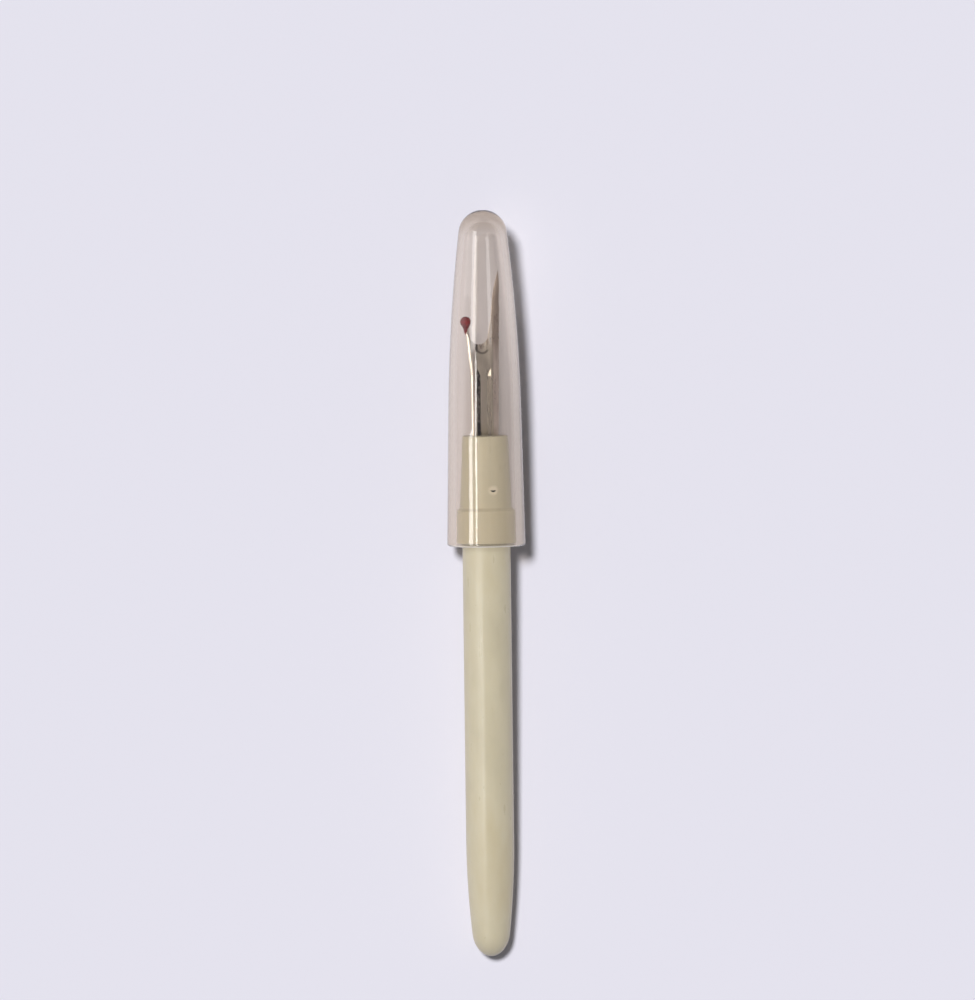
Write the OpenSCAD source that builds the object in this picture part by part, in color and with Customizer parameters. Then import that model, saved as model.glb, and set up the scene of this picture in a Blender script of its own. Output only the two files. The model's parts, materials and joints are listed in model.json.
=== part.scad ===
// Seam ripper: a forked steel blade moulded into a round plastic handle, with a plastic
// bead on the blade's short prong and a clear cap that pushes onto a collar of the handle.
// The tool lies along +Y on a table, on its cap's rim and on its tail, with the blade flat.
// Places along the tool are measured from the tail. X runs across the blade.

/* [Handle] */

// Diameter of the round grip
grip_d = 8.5; // [7:0.1:11]

// Length of the handle from its tail to the rim of the cap
grip_len = 72.8; // [50:0.1:100]

// Length of the tapered tail
tail_len = 21; // [12:0.5:35]

// Length of the rounded end of the tail
nose_len = 4; // [3:0.1:6]

// Loss of radius from the grip to the rounded end of the tail
tail_drop = 0.92; // [0.5:0.02:2]

/* [Collar and neck] */

// Rise of the collar from the grip, in radius
collar_step = 1; // [0.7:0.05:1.6]

// Length of the collar that the cap sits on
collar_len = 5.9; // [4:0.1:9]

// Distance of the collar inside the rim of the cap
collar_inset = 0.4; // [0.2:0.1:1.5]

// Length of the sloping shoulder at each end of the collar
collar_shoulder = 0.5; // [0.2:0.1:1]

// Length of the handle inside the cap
neck_len = 19.5; // [16:0.5:24]

// Room between the foot of the neck and the cap, in radius
neck_gap = 0.65; // [0.4:0.05:1]

// Angle of the neck's taper
neck_draft = 2.5; // [1:0.1:3]

// Radius of the rounded edge at the top of the neck
neck_round = 0.3; // [0.1:0.05:0.6]

/* [Support pin hole] */

// Diameter of the hole that the mould's support pin left over the blade
pin_hole_d = 0.9; // [0.6:0.1:1.4]

// Distance of the hole to the right of the tool's axis
pin_hole_x = 1.12; // [0.5:0.02:1.6]

// Height of the hole above the collar
pin_hole_rise = 3.7; // [2:0.1:8]

// Widening of the hole's dished mouth, in radius
dish_w = 0.28; // [0.1:0.02:0.5]

// Depth of the dished mouth
dish_depth = 0.35; // [0.2:0.05:0.8]

/* [Cap] */

// Clearance between the collar and the cap, in radius
cap_fit = 0.05; // [0.02:0.01:0.1]

// Thickness of the cap's wall at the rim
cap_wall = 1.65; // [1.35:0.05:2]

// Length of the cap's straight taper
cap_straight = 24.5; // [20:0.5:32]

// Draft angle outside
cap_draft = 1.17; // [0.8:0.01:1.5]

// Draft angle inside
bore_draft = 0.5; // [0.3:0.05:0.8]

// Radius of the domed tip
dome_r = 4.3; // [3.8:0.1:4.8]

// Thickness of the wall beside the dome
dome_side_wall = 1.2; // [1:0.05:1.6]

// Thickness of the wall at the tip
dome_wall = 2.3; // [1.5:0.1:3.5]

// Room between the point of the blade and the cap
tip_room = 8.4; // [4:0.1:15]

// Radius of the rim's rounded outer edge
rim_round = 0.9; // [0.3:0.05:0.95]

// Chamfer inside the rim
mouth_chamfer = 0.3; // [0.1:0.05:0.35]

/* [Blade] */

// Thickness of the steel
sheet_t = 0.9; // [0.6:0.05:1.2]

// Width of the shank and tang
strip_w = 4.74; // [4:0.02:5.4]

// Reach of the point beyond the neck
blade_reach = 29.2; // [22:0.2:36]

// Length of the tang inside the handle
tang_len = 18; // [12:0.5:30]

// Clearance round the tang
tang_fit = 0.02; // [0.01:0.01:0.05]

// Radius of the two notches that hold the tang
hold_r = 0.7; // [0.4:0.05:1]

// Distance of those notches from the end of the tang
hold_end = 4; // [2:0.5:6]

/* [Groove pressed in the blade] */

// Width of the groove
groove_w = 2.5; // [2:0.05:2.6]

// Depth of the groove, and height of the rib behind it
groove_depth = 0.35; // [0.2:0.05:0.5]

// Width of each sloping side of the groove
groove_side = 0.6; // [0.4:0.05:0.8]

// Distance of the groove to the left of the tool's axis
groove_left = 0.08; // [0:0.02:0.2]

// Distance from the end of the groove to the cutting notch
groove_gap = 4.1; // [3:0.1:6]

/* [Fork] */

// Distance from the point down to the centre of the cutting notch
fork_depth = 11.5; // [9:0.5:13]

// Radius of the cutting notch
notch_r = 1.59; // [1.2:0.01:1.8]

// Radius of the stone that grinds the notch's bevel
stone_r = 1.2; // [0.8:0.05:1.2]

// Slope of the bevel, from square to the sheet
bevel_angle = 55; // [30:1:62]

// Width of the long prong beside the notch
long_root_w = 1.98; // [1.6:0.02:2.3]

// Width of the long prong where its point starts
long_mid_w = 1.28; // [0.9:0.02:1.5]

// Length of the point
point_len = 6; // [4:0.2:8]

// Lean of the inner edge at the end of the point
point_lean = 18.5; // [14:0.5:22]

// Lean of the inner edge where the point starts
mid_lean = 3.2; // [0:0.2:6]

// Lean of the inner edge where it leaves the round of the notch
notch_lean = 12; // [0:1:20]

// Thickness left at the end of the point
point_t = 0.15; // [0.1:0.05:0.4]

// Outward lean of the long prong over the reach of the blade
edge_flare = 0.4; // [0:0.02:0.6]

// Setback of the point from the outer edge of the long prong
point_inset = 0.15; // [0.05:0.01:0.6]

// Length over which the outer edge turns in to the point
nib_len = 1.2; // [0.6:0.1:3]

// Length over which the blade widens to the short prong
flare_len = 9.5; // [5:0.5:10]

// Width of the short prong
prong_w = 0.55; // [0.4:0.05:0.6]

// Thickness of the short prong
prong_t = 0.6; // [0.4:0.05:0.6]

/* [Bead] */

// Diameter of the bead
bead_d = 1.95; // [1.7:0.05:2.4]

// Height of the bead's centre above the centre of the notch
bead_rise = 2.4; // [2.2:0.1:5]

// Length of the bead's tail from the bead's centre
bead_tail = 1.9; // [1.2:0.1:2.1]

// Radius of the tail's end
tail_end_r = 0.48; // [0.46:0.02:0.7]

// Room between the bead and the cap
bead_gap = 0.3; // [0.2:0.05:0.8]

// Clearance round the prong in the bead
bead_fit = 0.02; // [0.01:0.01:0.05]

// Length of prong past the bead's centre
prong_past = 0.35; // [0:0.05:0.5]

/* [Hidden] */

$fn = 96;
arc_steps = 14;
overshoot = 1;

// Places along the tool
rim_s = grip_len;
collar_s = rim_s + collar_inset;
collar_top_s = collar_s + collar_len;
neck_foot_s = collar_top_s + collar_shoulder;
neck_s = rim_s + neck_len;
tip_s = neck_s + blade_reach;
tang_end_s = neck_s - tang_len;
notch_s = tip_s - fork_depth;
point_s = tip_s - point_len;
bead_s = notch_s + bead_rise;
waist_s = rim_s + cap_straight;
bore_top_s = tip_s + tip_room;
cap_top_s = bore_top_s + dome_wall;

// Points of a circle's arc from angle a0 to angle a1
function arc(c, r, a0, a1, first = 0) =
    [for (i = [first:arc_steps]) let (a = a0 + (a1 - a0) * i / arc_steps) c + r * [cos(a), sin(a)]];

// Points of a curve that leaves a towards p and reaches b from q
function curve(a, p, q, b, first = 0) =
    [for (i = [first:arc_steps]) let (t = i / arc_steps, k = 1 - t)
        k * k * k * a + 3 * k * k * t * p + 3 * k * t * t * q + t * t * t * b];

function backwards(points) = [for (i = [len(points) - 1:-1:0]) points[i]];

// Radius of the long arc that leaves [r, s] at an angle of lean to the axis and meets,
// without a corner, a round end of radius end_r whose centre is on the axis at end_s
function ogive_r(r, s, lean, end_r, end_s) =
    (r * r + (s - end_s) * (s - end_s) - end_r * end_r)
    / (2 * (r * cos(lean) + (s - end_s) * sin(lean) - end_r));

// Centre of an arc of radius arc_r that leaves [r, s] at an angle of lean to the axis
function ogive_c(r, s, lean, arc_r) = [r - arc_r * cos(lean), s - arc_r * sin(lean)];

// Points along a long arc and the round end that it meets, as far as the axis
function round_end(c, arc_r, lean, end_r, end_s) =
    let (meet = atan2(end_s - c.y, -c.x))
    concat(arc(c, arc_r, lean, meet), arc([0, end_s], end_r, meet, 90, 1));

// Cap: the collar sets its bore, and the bore and the wall set its outside
grip_r = grip_d / 2;
bore_r = grip_r + collar_step + cap_fit;
mouth_r = bore_r + cap_wall;
bore_waist_r = bore_r - cap_straight * tan(bore_draft);
waist_r = mouth_r - cap_straight * tan(cap_draft);
bore_dome_r = dome_r - dome_side_wall;
bore_dome_s = bore_top_s - bore_dome_r;
dome_s = cap_top_s - dome_r;
bore_arc_r = ogive_r(bore_waist_r, waist_s, bore_draft, bore_dome_r, bore_dome_s);
bore_arc_c = ogive_c(bore_waist_r, waist_s, bore_draft, bore_arc_r);
cap_arc_r = ogive_r(waist_r, waist_s, cap_draft, dome_r, dome_s);
cap_arc_c = ogive_c(waist_r, waist_s, cap_draft, cap_arc_r);
rim_c = [mouth_r - rim_round * (tan(cap_draft) + 1 / cos(cap_draft)), rim_s + rim_round];

// Radius of the cap's bore at any place
function bore_at(s) = s < waist_s
    ? bore_r - (s - rim_s) * tan(bore_draft)
    : bore_arc_c.x + sqrt(bore_arc_r * bore_arc_r - (s - bore_arc_c.y) * (s - bore_arc_c.y));

// Neck
neck_foot_r = bore_at(neck_foot_s) - neck_gap;
function neck_at(s) = neck_foot_r - (s - neck_foot_s) * tan(neck_draft);

// Tail: a long arc from the grip, and half an ellipse that it meets without a corner
tail_run = tail_len - nose_len;
tail_arc_r = (tail_run * tail_run + tail_drop * tail_drop) / (2 * tail_drop);
tail_arc_c = [grip_r - tail_arc_r, tail_len];
tail_meet = asin(tail_run / tail_arc_r);
meet_r = grip_r - tail_drop;
meet_run = meet_r / tan(tail_meet);
nose_half = nose_len * (meet_run - nose_len) / (meet_run - 2 * nose_len);
nose_r = nose_half * sqrt(meet_r * tan(tail_meet) / (nose_half - nose_len));
nose_from = asin(1 - nose_len / nose_half);
tail_line = concat(
    arc([tail_arc_c.x, 0], tail_arc_r, 0, tail_meet),
    [for (i = [1:arc_steps]) let (a = nose_from + (90 - nose_from) * i / arc_steps)
        [nose_r * cos(a), tail_len - nose_half * (1 - sin(a))]]
);

// The table touches the arc of the tail and the rounded edge of the rim
lie_way = rim_c - tail_arc_c;
lie_angle = acos((tail_arc_r - rim_round) / norm(lie_way)) - atan2(lie_way.y, lie_way.x);
lie_height = cos(lie_angle) * rim_c.x - sin(lie_angle) * rim_c.y + rim_round;
nose_out = norm([nose_half * cos(lie_angle), nose_r * sin(lie_angle)]);
lie_middle = ((nose_half + dome_s) * cos(lie_angle) + dome_r - nose_out) / 2;

// Blade
function edge_x(s) = strip_w / 2 + edge_flare * (s - neck_s) / blade_reach;
notch_x = edge_x(notch_s) - long_root_w - notch_r;
mid_x = edge_x(point_s) - long_mid_w;
point = [edge_x(tip_s) - point_inset, tip_s];
shoulder_x = notch_x - notch_r - prong_w;
point_slope = atan2((sheet_t - point_t) / 2, point_len);
mid = [mid_x, point_s];
notch_side = [notch_x + notch_r * cos(notch_lean), notch_s - notch_r * sin(notch_lean)];
function pull(lean) = 0.3 * point_len * [sin(lean), cos(lean)];
flare_mid_s = notch_s - flare_len / 2;
groove_end_s = notch_s - notch_r - groove_gap - groove_w / 2;
stone_len = fork_depth;
rib_w = groove_w + 2 * sheet_t * tan(atan2(groove_depth, groove_side) / 2);

// Short prong and bead
bead_r = bead_d / 2;
bead = [bead_r + bead_gap - bore_at(bead_s), bead_s];
prong_root = [notch_x - notch_r - prong_w / 2, notch_s];
prong_way = bead - prong_root;
prong_angle = atan2(-prong_way.x, prong_way.y);
prong_len = norm(prong_way) + prong_past;
bead_meet = atan2(-bead_tail, tail_end_r) + acos(bead_r / norm([tail_end_r, bead_tail]));

// From upright along Z, or flat along Y, to the way the tool lies
module lying() {
    translate([0, -lie_middle, lie_height])
        rotate([lie_angle, 0, 0])
            children();
}

module turned(points) {
    rotate([-90, 0, 0])
        rotate_extrude()
            polygon(points);
}

// Handle
function handle_line() = concat(
    [for (p = tail_line) [p.x, tail_len - p.y]],
    [[0, neck_s]],
    arc([neck_at(neck_s) - neck_round, neck_s - neck_round], neck_round, 90, 0),
    [[neck_foot_r, neck_foot_s]],
    [[bore_at(collar_top_s) - cap_fit, collar_top_s]],
    [[bore_at(collar_s + collar_shoulder) - cap_fit, collar_s + collar_shoulder]],
    [[grip_r, collar_s]]
);

module handle() {
    color([0.79, 0.75, 0.64])
        lying()
            difference() {
                turned(handle_line());
                tang_slot();
                pin_hole();
            }
}

module tang_slot() {
    slot_w = strip_w + 2 * tang_fit;
    slot_t = sheet_t + 2 * tang_fit;
    difference() {
        union() {
            translate([-slot_w / 2, tang_end_s - tang_fit, -slot_t / 2])
                cube([slot_w, tang_len + tang_fit + overshoot, slot_t]);
            rib(tang_fit);
        }
        groove(-tang_fit);
        holding_notches(-tang_fit);
    }
}

// Hole of the mould's support pin, from the dished mouth down to the tang
module pin_hole() {
    hole_s = collar_top_s + pin_hole_rise;
    mouth_z = sqrt(neck_at(hole_s) * neck_at(hole_s) - pin_hole_x * pin_hole_x);
    hole_r = pin_hole_d / 2;
    translate([pin_hole_x, hole_s, sheet_t / 2]) cylinder(r = hole_r, h = mouth_z);
    translate([pin_hole_x, hole_s, mouth_z - dish_depth])
        cylinder(r1 = hole_r, r2 = hole_r + 2 * dish_w, h = 2 * dish_depth);
}

// Blade
function blade_line() = concat(
    [[-strip_w / 2, tang_end_s], [strip_w / 2, tang_end_s], [strip_w / 2, neck_s]],
    [[edge_x(tip_s - nib_len), tip_s - nib_len]],
    curve(point, point - pull(point_lean), mid + pull(mid_lean), mid),
    curve(mid, mid - pull(mid_lean), notch_side + pull(notch_lean), notch_side, 1),
    arc([notch_x, notch_s], notch_r, -notch_lean, -180, 1),
    curve([shoulder_x, notch_s], [shoulder_x + prong_w / 2, flare_mid_s],
        [-strip_w / 2, flare_mid_s], [-strip_w / 2, notch_s - flare_len])
);

module forked_blade() {
    color([0.55, 0.53, 0.51])
        lying()
            difference() {
                union() {
                    translate([0, 0, -sheet_t / 2]) linear_extrude(sheet_t) polygon(blade_line());
                    short_prong(0);
                    rib(0);
                }
                groove(0);
                holding_notches(0);
                notch_bevel();
                point_bevel();
                mirror([0, 0, 1]) point_bevel();
            }
}

// Straight end of the short prong, from the level of the notch into the bead
module short_prong(grow) {
    translate([prong_root.x, prong_root.y, 0])
        rotate([0, 0, prong_angle])
            translate([-prong_w / 2 - grow, -prong_w, -prong_t / 2 - grow])
                cube([prong_w + 2 * grow, prong_w + prong_len + grow, prong_t + 2 * grow]);
}

// Form with sloping sides and a round end, open at z = 0, for the groove and its rib
module pressed_form(w, depth, cover) {
    half = w / 2;
    length = groove_end_s - tang_end_s + overshoot;
    side = [[0, cover], [half, cover], [half, 0], [half - groove_side, -depth], [0, -depth]];
    translate([-groove_left, groove_end_s, 0]) {
        rotate([90, 0, 0]) linear_extrude(length) union() {
            polygon(side);
            mirror([1, 0]) polygon(side);
        }
        rotate_extrude(angle = 180) polygon(side);
    }
}

module groove(grow) {
    translate([0, 0, sheet_t / 2])
        pressed_form(groove_w + 2 * grow, groove_depth + grow, overshoot);
}

module rib(grow) {
    difference() {
        translate([0, 0, -sheet_t / 2])
            pressed_form(rib_w + 2 * grow, groove_depth + grow, sheet_t / 4);
        translate([-strip_w, tang_end_s - grow - strip_w, -strip_w])
            cube([2 * strip_w, strip_w, 2 * strip_w]);
    }
}

module holding_notches(grow) {
    for (side = [-1, 1])
        translate([side * strip_w / 2, tang_end_s + hold_end, -sheet_t])
            cylinder(r = hold_r + grow, h = 2 * sheet_t);
}

// Bevel that a slanted round stone grinds in the bottom of the notch
module notch_bevel() {
    translate([notch_x, notch_s - notch_r + stone_r / cos(bevel_angle), -sheet_t / 2])
        rotate([bevel_angle, 0, 0])
            cylinder(r = stone_r, h = 2 * stone_len, center = true);
}

// Wedge that thins the point from one face
module point_bevel() {
    translate([0, point_s, sheet_t / 2])
        rotate([-point_slope, 0, 0])
            cube([strip_w, 2 * point_len, sheet_t]);
}

// Bead
function bead_line() = concat(
    arc([0, 0], bead_r, 90, bead_meet),
    [[tail_end_r, -bead_tail], [0, -bead_tail]]
);

module safety_bead() {
    color([0.5, 0.12, 0.12])
        lying()
            difference() {
                translate([bead.x, bead.y, 0])
                    rotate([0, 0, prong_angle])
                        turned(bead_line());
                short_prong(bead_fit);
            }
}

// Cap
function cap_line() = concat(
    arc(rim_c, rim_round, -90, cap_draft),
    round_end(cap_arc_c, cap_arc_r, cap_draft, dome_r, dome_s),
    backwards(round_end(bore_arc_c, bore_arc_r, bore_draft, bore_dome_r, bore_dome_s)),
    [[bore_at(rim_s + mouth_chamfer), rim_s + mouth_chamfer]],
    [[bore_r + mouth_chamfer, rim_s]]
);

module clear_cap() {
    color([0.85, 0.8, 0.78, 0.45])
        lying()
            turned(cap_line());
}

handle();
forked_blade();
safety_bead();
clear_cap();
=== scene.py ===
# %% [markdown]
# # A capped seam ripper, step by step
#
# The tool is four pieces: a round ivory handle, a forked steel blade moulded into it, a red
# bead on the blade's short prong, and a clear cap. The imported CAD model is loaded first. It
# fixes every size and place, and each piece made here stands for one of its nodes.

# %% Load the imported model
import json
import math

import bpy
from mathutils import Matrix, Vector


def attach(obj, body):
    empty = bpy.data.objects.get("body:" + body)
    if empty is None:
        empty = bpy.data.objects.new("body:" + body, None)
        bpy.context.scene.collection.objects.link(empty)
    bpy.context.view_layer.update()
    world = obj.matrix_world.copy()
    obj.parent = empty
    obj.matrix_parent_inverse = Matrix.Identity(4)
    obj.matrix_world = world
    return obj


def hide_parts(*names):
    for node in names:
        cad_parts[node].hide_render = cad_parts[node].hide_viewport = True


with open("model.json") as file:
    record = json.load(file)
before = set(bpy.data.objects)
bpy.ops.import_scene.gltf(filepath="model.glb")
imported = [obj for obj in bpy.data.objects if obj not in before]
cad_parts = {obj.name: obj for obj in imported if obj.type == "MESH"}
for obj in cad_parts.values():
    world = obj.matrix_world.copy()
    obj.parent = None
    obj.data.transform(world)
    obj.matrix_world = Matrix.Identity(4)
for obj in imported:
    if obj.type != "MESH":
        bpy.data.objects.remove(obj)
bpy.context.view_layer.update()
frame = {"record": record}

# %% [markdown]
# The tool lies on its cap's rim and on its tail, so its axis slopes a little. The slope is
# read from the slide that the cap comes off along, and the place from the round grip. Every
# piece is modelled flat along Y, measured from the tail, and then laid down with one matrix.

# %% Axis of the tool
MM = 0.001
slide = frame["record"]["behaviour"]["joints"][0]
grip = frame["record"]["mounts"][0]
axis = Vector(slide["axis"]).normalized()
GRIP_MIDDLE = 47.1 * MM  # from the tail to the point that the grip mount states
slope = math.atan2(axis.z, axis.y)
tail = Vector(grip["pos_m"]) - axis * GRIP_MIDDLE
LAY = Matrix.Translation(tail) @ Matrix.Rotation(slope, 4, "X")
print("slope %.3f degrees, tail at" % math.degrees(slope), tuple(round(v, 5) for v in tail))

# %% [markdown]
# The driving sizes are those of the part's source, in metres. Three small ones follow the
# photo more closely: the rounding of the cap's rim, the collar's lower shoulder and the room
# in the cap's tip. The rest follows from them, so the cap still fits the collar, and the blade
# the neck, if one of them is changed.

# %% Sizes of the handle and cap
GRIP_R = grip["dims"]["r_mm"] * MM
RIM = 72.8 * MM
TAIL_LEN = 21 * MM
NOSE_LEN = 4 * MM
TAIL_DROP = 0.92 * MM
COLLAR_STEP = 1.0 * MM
COLLAR = RIM + 0.4 * MM
COLLAR_TOP = COLLAR + 5.9 * MM
SHOULDER = 0.5 * MM
LOW_SHOULDER = 0.2 * MM
NECK_TOP = RIM + 19.5 * MM
NECK_FOOT = COLLAR_TOP + SHOULDER
NECK_GAP = 0.65 * MM
NECK_DRAFT = math.radians(2.5)
CAP_FIT = 0.05 * MM
CAP_WALL = 1.65 * MM
WAIST = RIM + 24.5 * MM
CAP_DRAFT = math.radians(1.17)
BORE_DRAFT = math.radians(0.5)
DOME_R = 4.3 * MM
BORE_DOME_R = DOME_R - 1.2 * MM
RIM_ROUND = 0.5 * MM
TIP = NECK_TOP + 29.2 * MM
BORE_TOP = TIP + 8.9 * MM
CAP_TOP = BORE_TOP + 1.8 * MM
BORE_R = GRIP_R + COLLAR_STEP + CAP_FIT
MOUTH_R = BORE_R + CAP_WALL
print("cap %.1f mm long, tool %.1f mm long" % ((CAP_TOP - RIM) / MM, CAP_TOP / MM))

# %% [markdown]
# A lathe profile is a row of points, each a radius and a distance from the tail. Round
# stretches are arcs. Where a long arc runs into a domed end, its radius is worked out so that
# the two meet with no corner.


# %% Curves for profiles
def arc(c, r, a0, a1, n):
    """Points of an arc about c, from angle a0 to a1 in degrees."""
    steps = [math.radians(a0 + (a1 - a0) * i / n) for i in range(n + 1)]
    return [(c[0] + r * math.cos(a), c[1] + r * math.sin(a)) for a in steps]


def ogive(r, s, lean, end_r, end_s):
    """Radius, centre and meeting angle of the arc from (r, s) to a dome on the axis."""
    d = s - end_s
    reach = r * math.cos(lean) + d * math.sin(lean) - end_r
    big = (r * r + d * d - end_r * end_r) / (2 * reach)
    c = (r - big * math.cos(lean), s - big * math.sin(lean))
    return big, c, math.degrees(math.atan2(end_s - c[1], -c[0]))


def curve(a, p, q, b, n):
    """Points of a smooth curve that leaves a towards p and reaches b from q."""
    out = []
    for i in range(n + 1):
        t = i / n
        k = 1 - t
        share = (k**3, 3 * k * k * t, 3 * k * t * t, t**3)
        out.append(tuple(sum(w * c[j] for w, c in zip(share, (a, p, q, b))) for j in (0, 1)))
    return out


def soft_corner(before, corner, after, r, n=6):
    """Points that round a corner with a fillet of radius r."""
    a, b, c = Vector(before), Vector(corner), Vector(after)
    u, v = (a - b).normalized(), (c - b).normalized()
    half = u.angle(v) / 2
    mid = b + (u + v).normalized() * (r / math.sin(half))
    p, q = b + u * (r / math.tan(half)), b + v * (r / math.tan(half))
    return [tuple(mid + (p - mid).slerp(q - mid, i / n) * r) for i in range(n + 1)]


def bore_at(s):
    """Radius of the cap's bore at a distance from the tail, below its waist."""
    return BORE_R - (s - RIM) * math.tan(BORE_DRAFT)


# %% [markdown]
# A lathe is modelled as by hand. A plane is merged to one vertex, the vertex is extruded from
# point to point along the profile, and the line is spun about the tool's axis. A blade or a
# cutter is made from the same traced line, closed and filled.


# %% Helpers that trace, spin and lay a piece
def trace(name, points):
    """A line of vertices through 3-D points, left in edit mode."""
    bpy.ops.object.select_all(action="DESELECT")
    bpy.ops.mesh.primitive_plane_add(size=MM, location=(0, 0, 0))
    obj = bpy.context.object
    obj.name = obj.data.name = name
    bpy.ops.object.mode_set(mode="EDIT")
    bpy.ops.mesh.select_all(action="SELECT")
    bpy.ops.mesh.merge(type="CENTER")
    last = Vector(points[0])
    bpy.ops.transform.translate(value=last)
    for p in points[1:]:
        step = Vector(p) - last
        bpy.ops.mesh.extrude_region_move(TRANSFORM_OT_translate={"value": step})
        last = Vector(p)
    return obj


def spun(name, profile, steps):
    """Spin a profile of (radius, distance) points about the Y axis into a closed piece."""
    obj = trace(name, [(r, s, 0) for r, s in profile])
    bpy.ops.mesh.select_all(action="SELECT")
    bpy.ops.mesh.spin(steps=steps, angle=2 * math.pi, center=(0, 0, 0), axis=(0, 1, 0))
    bpy.ops.mesh.select_all(action="SELECT")
    bpy.ops.mesh.remove_doubles(threshold=0.002 * MM)
    bpy.ops.mesh.normals_make_consistent(inside=False)
    bpy.ops.object.mode_set(mode="OBJECT")
    return obj


def filled(name, points):
    """Close a traced line and fill it, left in edit mode with the face selected."""
    obj = trace(name, points)
    bpy.ops.mesh.select_all(action="SELECT")
    bpy.ops.mesh.edge_face_add()
    bpy.ops.mesh.select_all(action="SELECT")
    return obj


def swept(name, points, steps):
    """Fill a traced line and extrude it by each step in turn into a closed solid."""
    obj = filled(name, points)
    for step in steps:
        bpy.ops.mesh.extrude_region_move(TRANSFORM_OT_translate={"value": step})
    bpy.ops.mesh.select_all(action="SELECT")
    bpy.ops.mesh.normals_make_consistent(inside=False)
    bpy.ops.object.mode_set(mode="OBJECT")
    return obj


def pick(obj):
    """Select one object alone and make it active."""
    bpy.ops.object.select_all(action="DESELECT")
    bpy.context.view_layer.objects.active = obj
    obj.select_set(True)


def applied(obj, kind, **settings):
    """Add a modifier and apply it."""
    pick(obj)
    bpy.ops.object.modifier_add(type=kind)
    mod = obj.modifiers[-1]
    for key, value in settings.items():
        setattr(mod, key, value)
    bpy.ops.object.modifier_apply(modifier=mod.name)


def boolean(obj, tool, operation):
    """Cut or join obj with a tool, then delete the tool."""
    applied(obj, "BOOLEAN", object=tool, operation=operation, solver="EXACT")
    bpy.data.objects.remove(tool, do_unlink=True)


def lay(obj, body, node, angle):
    """Lay a finished piece along the tool, smooth it and hang it on its body."""
    pick(obj)
    obj.matrix_world = LAY
    bpy.ops.object.transform_apply(location=True, rotation=True, scale=True)
    bpy.ops.object.shade_smooth_by_angle(angle=math.radians(angle))
    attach(obj, body)
    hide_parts(node)
    obj.data.materials.clear()
    print(obj.name, "has", len(obj.data.polygons), "faces")


# %% [markdown]
# ## The handle
#
# The handle is one moulding: a tail with a rounded nose, a plain round grip, a tapered collar
# for the cap and a neck that holds the blade. It could be stacked from cylinders and cones,
# but a lathe profile keeps the tail's long curve smooth and lets every shoulder be rounded.

# %% Profile of the handle
tail_run = TAIL_LEN - NOSE_LEN
tail_r = (tail_run**2 + TAIL_DROP**2) / (2 * TAIL_DROP)
tail_meet = math.asin(tail_run / tail_r)
meet_r = GRIP_R - TAIL_DROP
meet_run = meet_r / math.tan(tail_meet)
nose_half = NOSE_LEN * (meet_run - NOSE_LEN) / (meet_run - 2 * NOSE_LEN)
nose_r = nose_half * meet_r / math.sqrt(meet_run * (nose_half - NOSE_LEN))
nose_from = math.asin(1 - NOSE_LEN / nose_half)
neck_foot_r = bore_at(NECK_FOOT) - NECK_GAP
neck_top_r = neck_foot_r - (NECK_TOP - NECK_FOOT) * math.tan(NECK_DRAFT)
collar_low = (bore_at(COLLAR + SHOULDER) - CAP_FIT, COLLAR + LOW_SHOULDER)
collar_high = (bore_at(COLLAR_TOP) - CAP_FIT, COLLAR_TOP)
foot = (neck_foot_r, NECK_FOOT)
neck_edge = (neck_top_r, NECK_TOP)

nose = arc((0, 1), 1, -90, -math.degrees(nose_from), 24)
profile = [(nose_r * r, nose_half * s) for r, s in nose]
tail_arc = arc((GRIP_R - tail_r, 0), tail_r, math.degrees(tail_meet), 0, 24)
profile += [(r, TAIL_LEN - s) for r, s in tail_arc[1:]]
profile += [(GRIP_R, TAIL_LEN + (COLLAR - TAIL_LEN) * i / 12) for i in range(1, 12)]
profile += soft_corner((GRIP_R, RIM), (GRIP_R, COLLAR), collar_low, 0.1 * MM)
profile += soft_corner((GRIP_R, COLLAR), collar_low, collar_high, 0.15 * MM)
profile += soft_corner(collar_low, collar_high, foot, 0.2 * MM)
profile += soft_corner(collar_high, foot, neck_edge, 0.3 * MM)
profile += soft_corner(foot, neck_edge, (0, NECK_TOP), 0.3 * MM, 8)
profile += [(neck_top_r * k, NECK_TOP) for k in (0.6, 0.3, 0)]
handle = spun("handle_moulding", profile, steps=144)
print("handle profile:", len(profile), "points")

# %% [markdown]
# A small dished spot sits on the neck, over the blade, where a pin of the mould held the steel
# while the plastic ran round it. Plastic has crept back over most of the pin's hole and left
# a deep crescent. A lathe can't make either, so a turned dish is set square to the neck and
# taken away, and then a crescent is traced, pushed down and taken away too.

# %% Dished pin hole in the neck
HOLE_X = 1.12 * MM
HOLE_S = COLLAR_TOP + 3.7 * MM
HOLE_R = 0.46 * MM
HOLE_LEAN = math.radians(15)
CRESCENT_X = HOLE_X + 0.1 * MM
CRESCENT_DEEP = 2.0 * MM
ABOVE = 0.3 * MM  # the plugs stand this far out of the neck
neck_r_here = neck_foot_r - (HOLE_S - NECK_FOOT) * math.tan(NECK_DRAFT)
hole_face = math.sqrt(neck_r_here**2 - HOLE_X**2)
dish_line = [(0, -0.06), (0.45, -0.05), (0.7, -0.03), (0.88, 0.02), (0.95, 0.3), (0, 0.3)]
dish = spun("pin_dish_plug", [(r * MM, s * MM) for r, s in dish_line], steps=48)
lean_out = Matrix.Rotation(HOLE_LEAN, 4, "Y")
upright = Matrix.Rotation(math.radians(90), 4, "X")
dish.matrix_world = Matrix.Translation((HOLE_X, HOLE_S, hole_face)) @ lean_out @ upright
boolean(handle, dish, "DIFFERENCE")
crescent = arc((0, 0.12 * MM), HOLE_R, 185, 355, 24)
crescent += arc((0, 1.08 * MM), 1.1 * MM, -65.4, -114.6, 16)[1:-1]
crescent = [(CRESCENT_X + x, HOLE_S + s, hole_face + ABOVE) for x, s in crescent]
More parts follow.
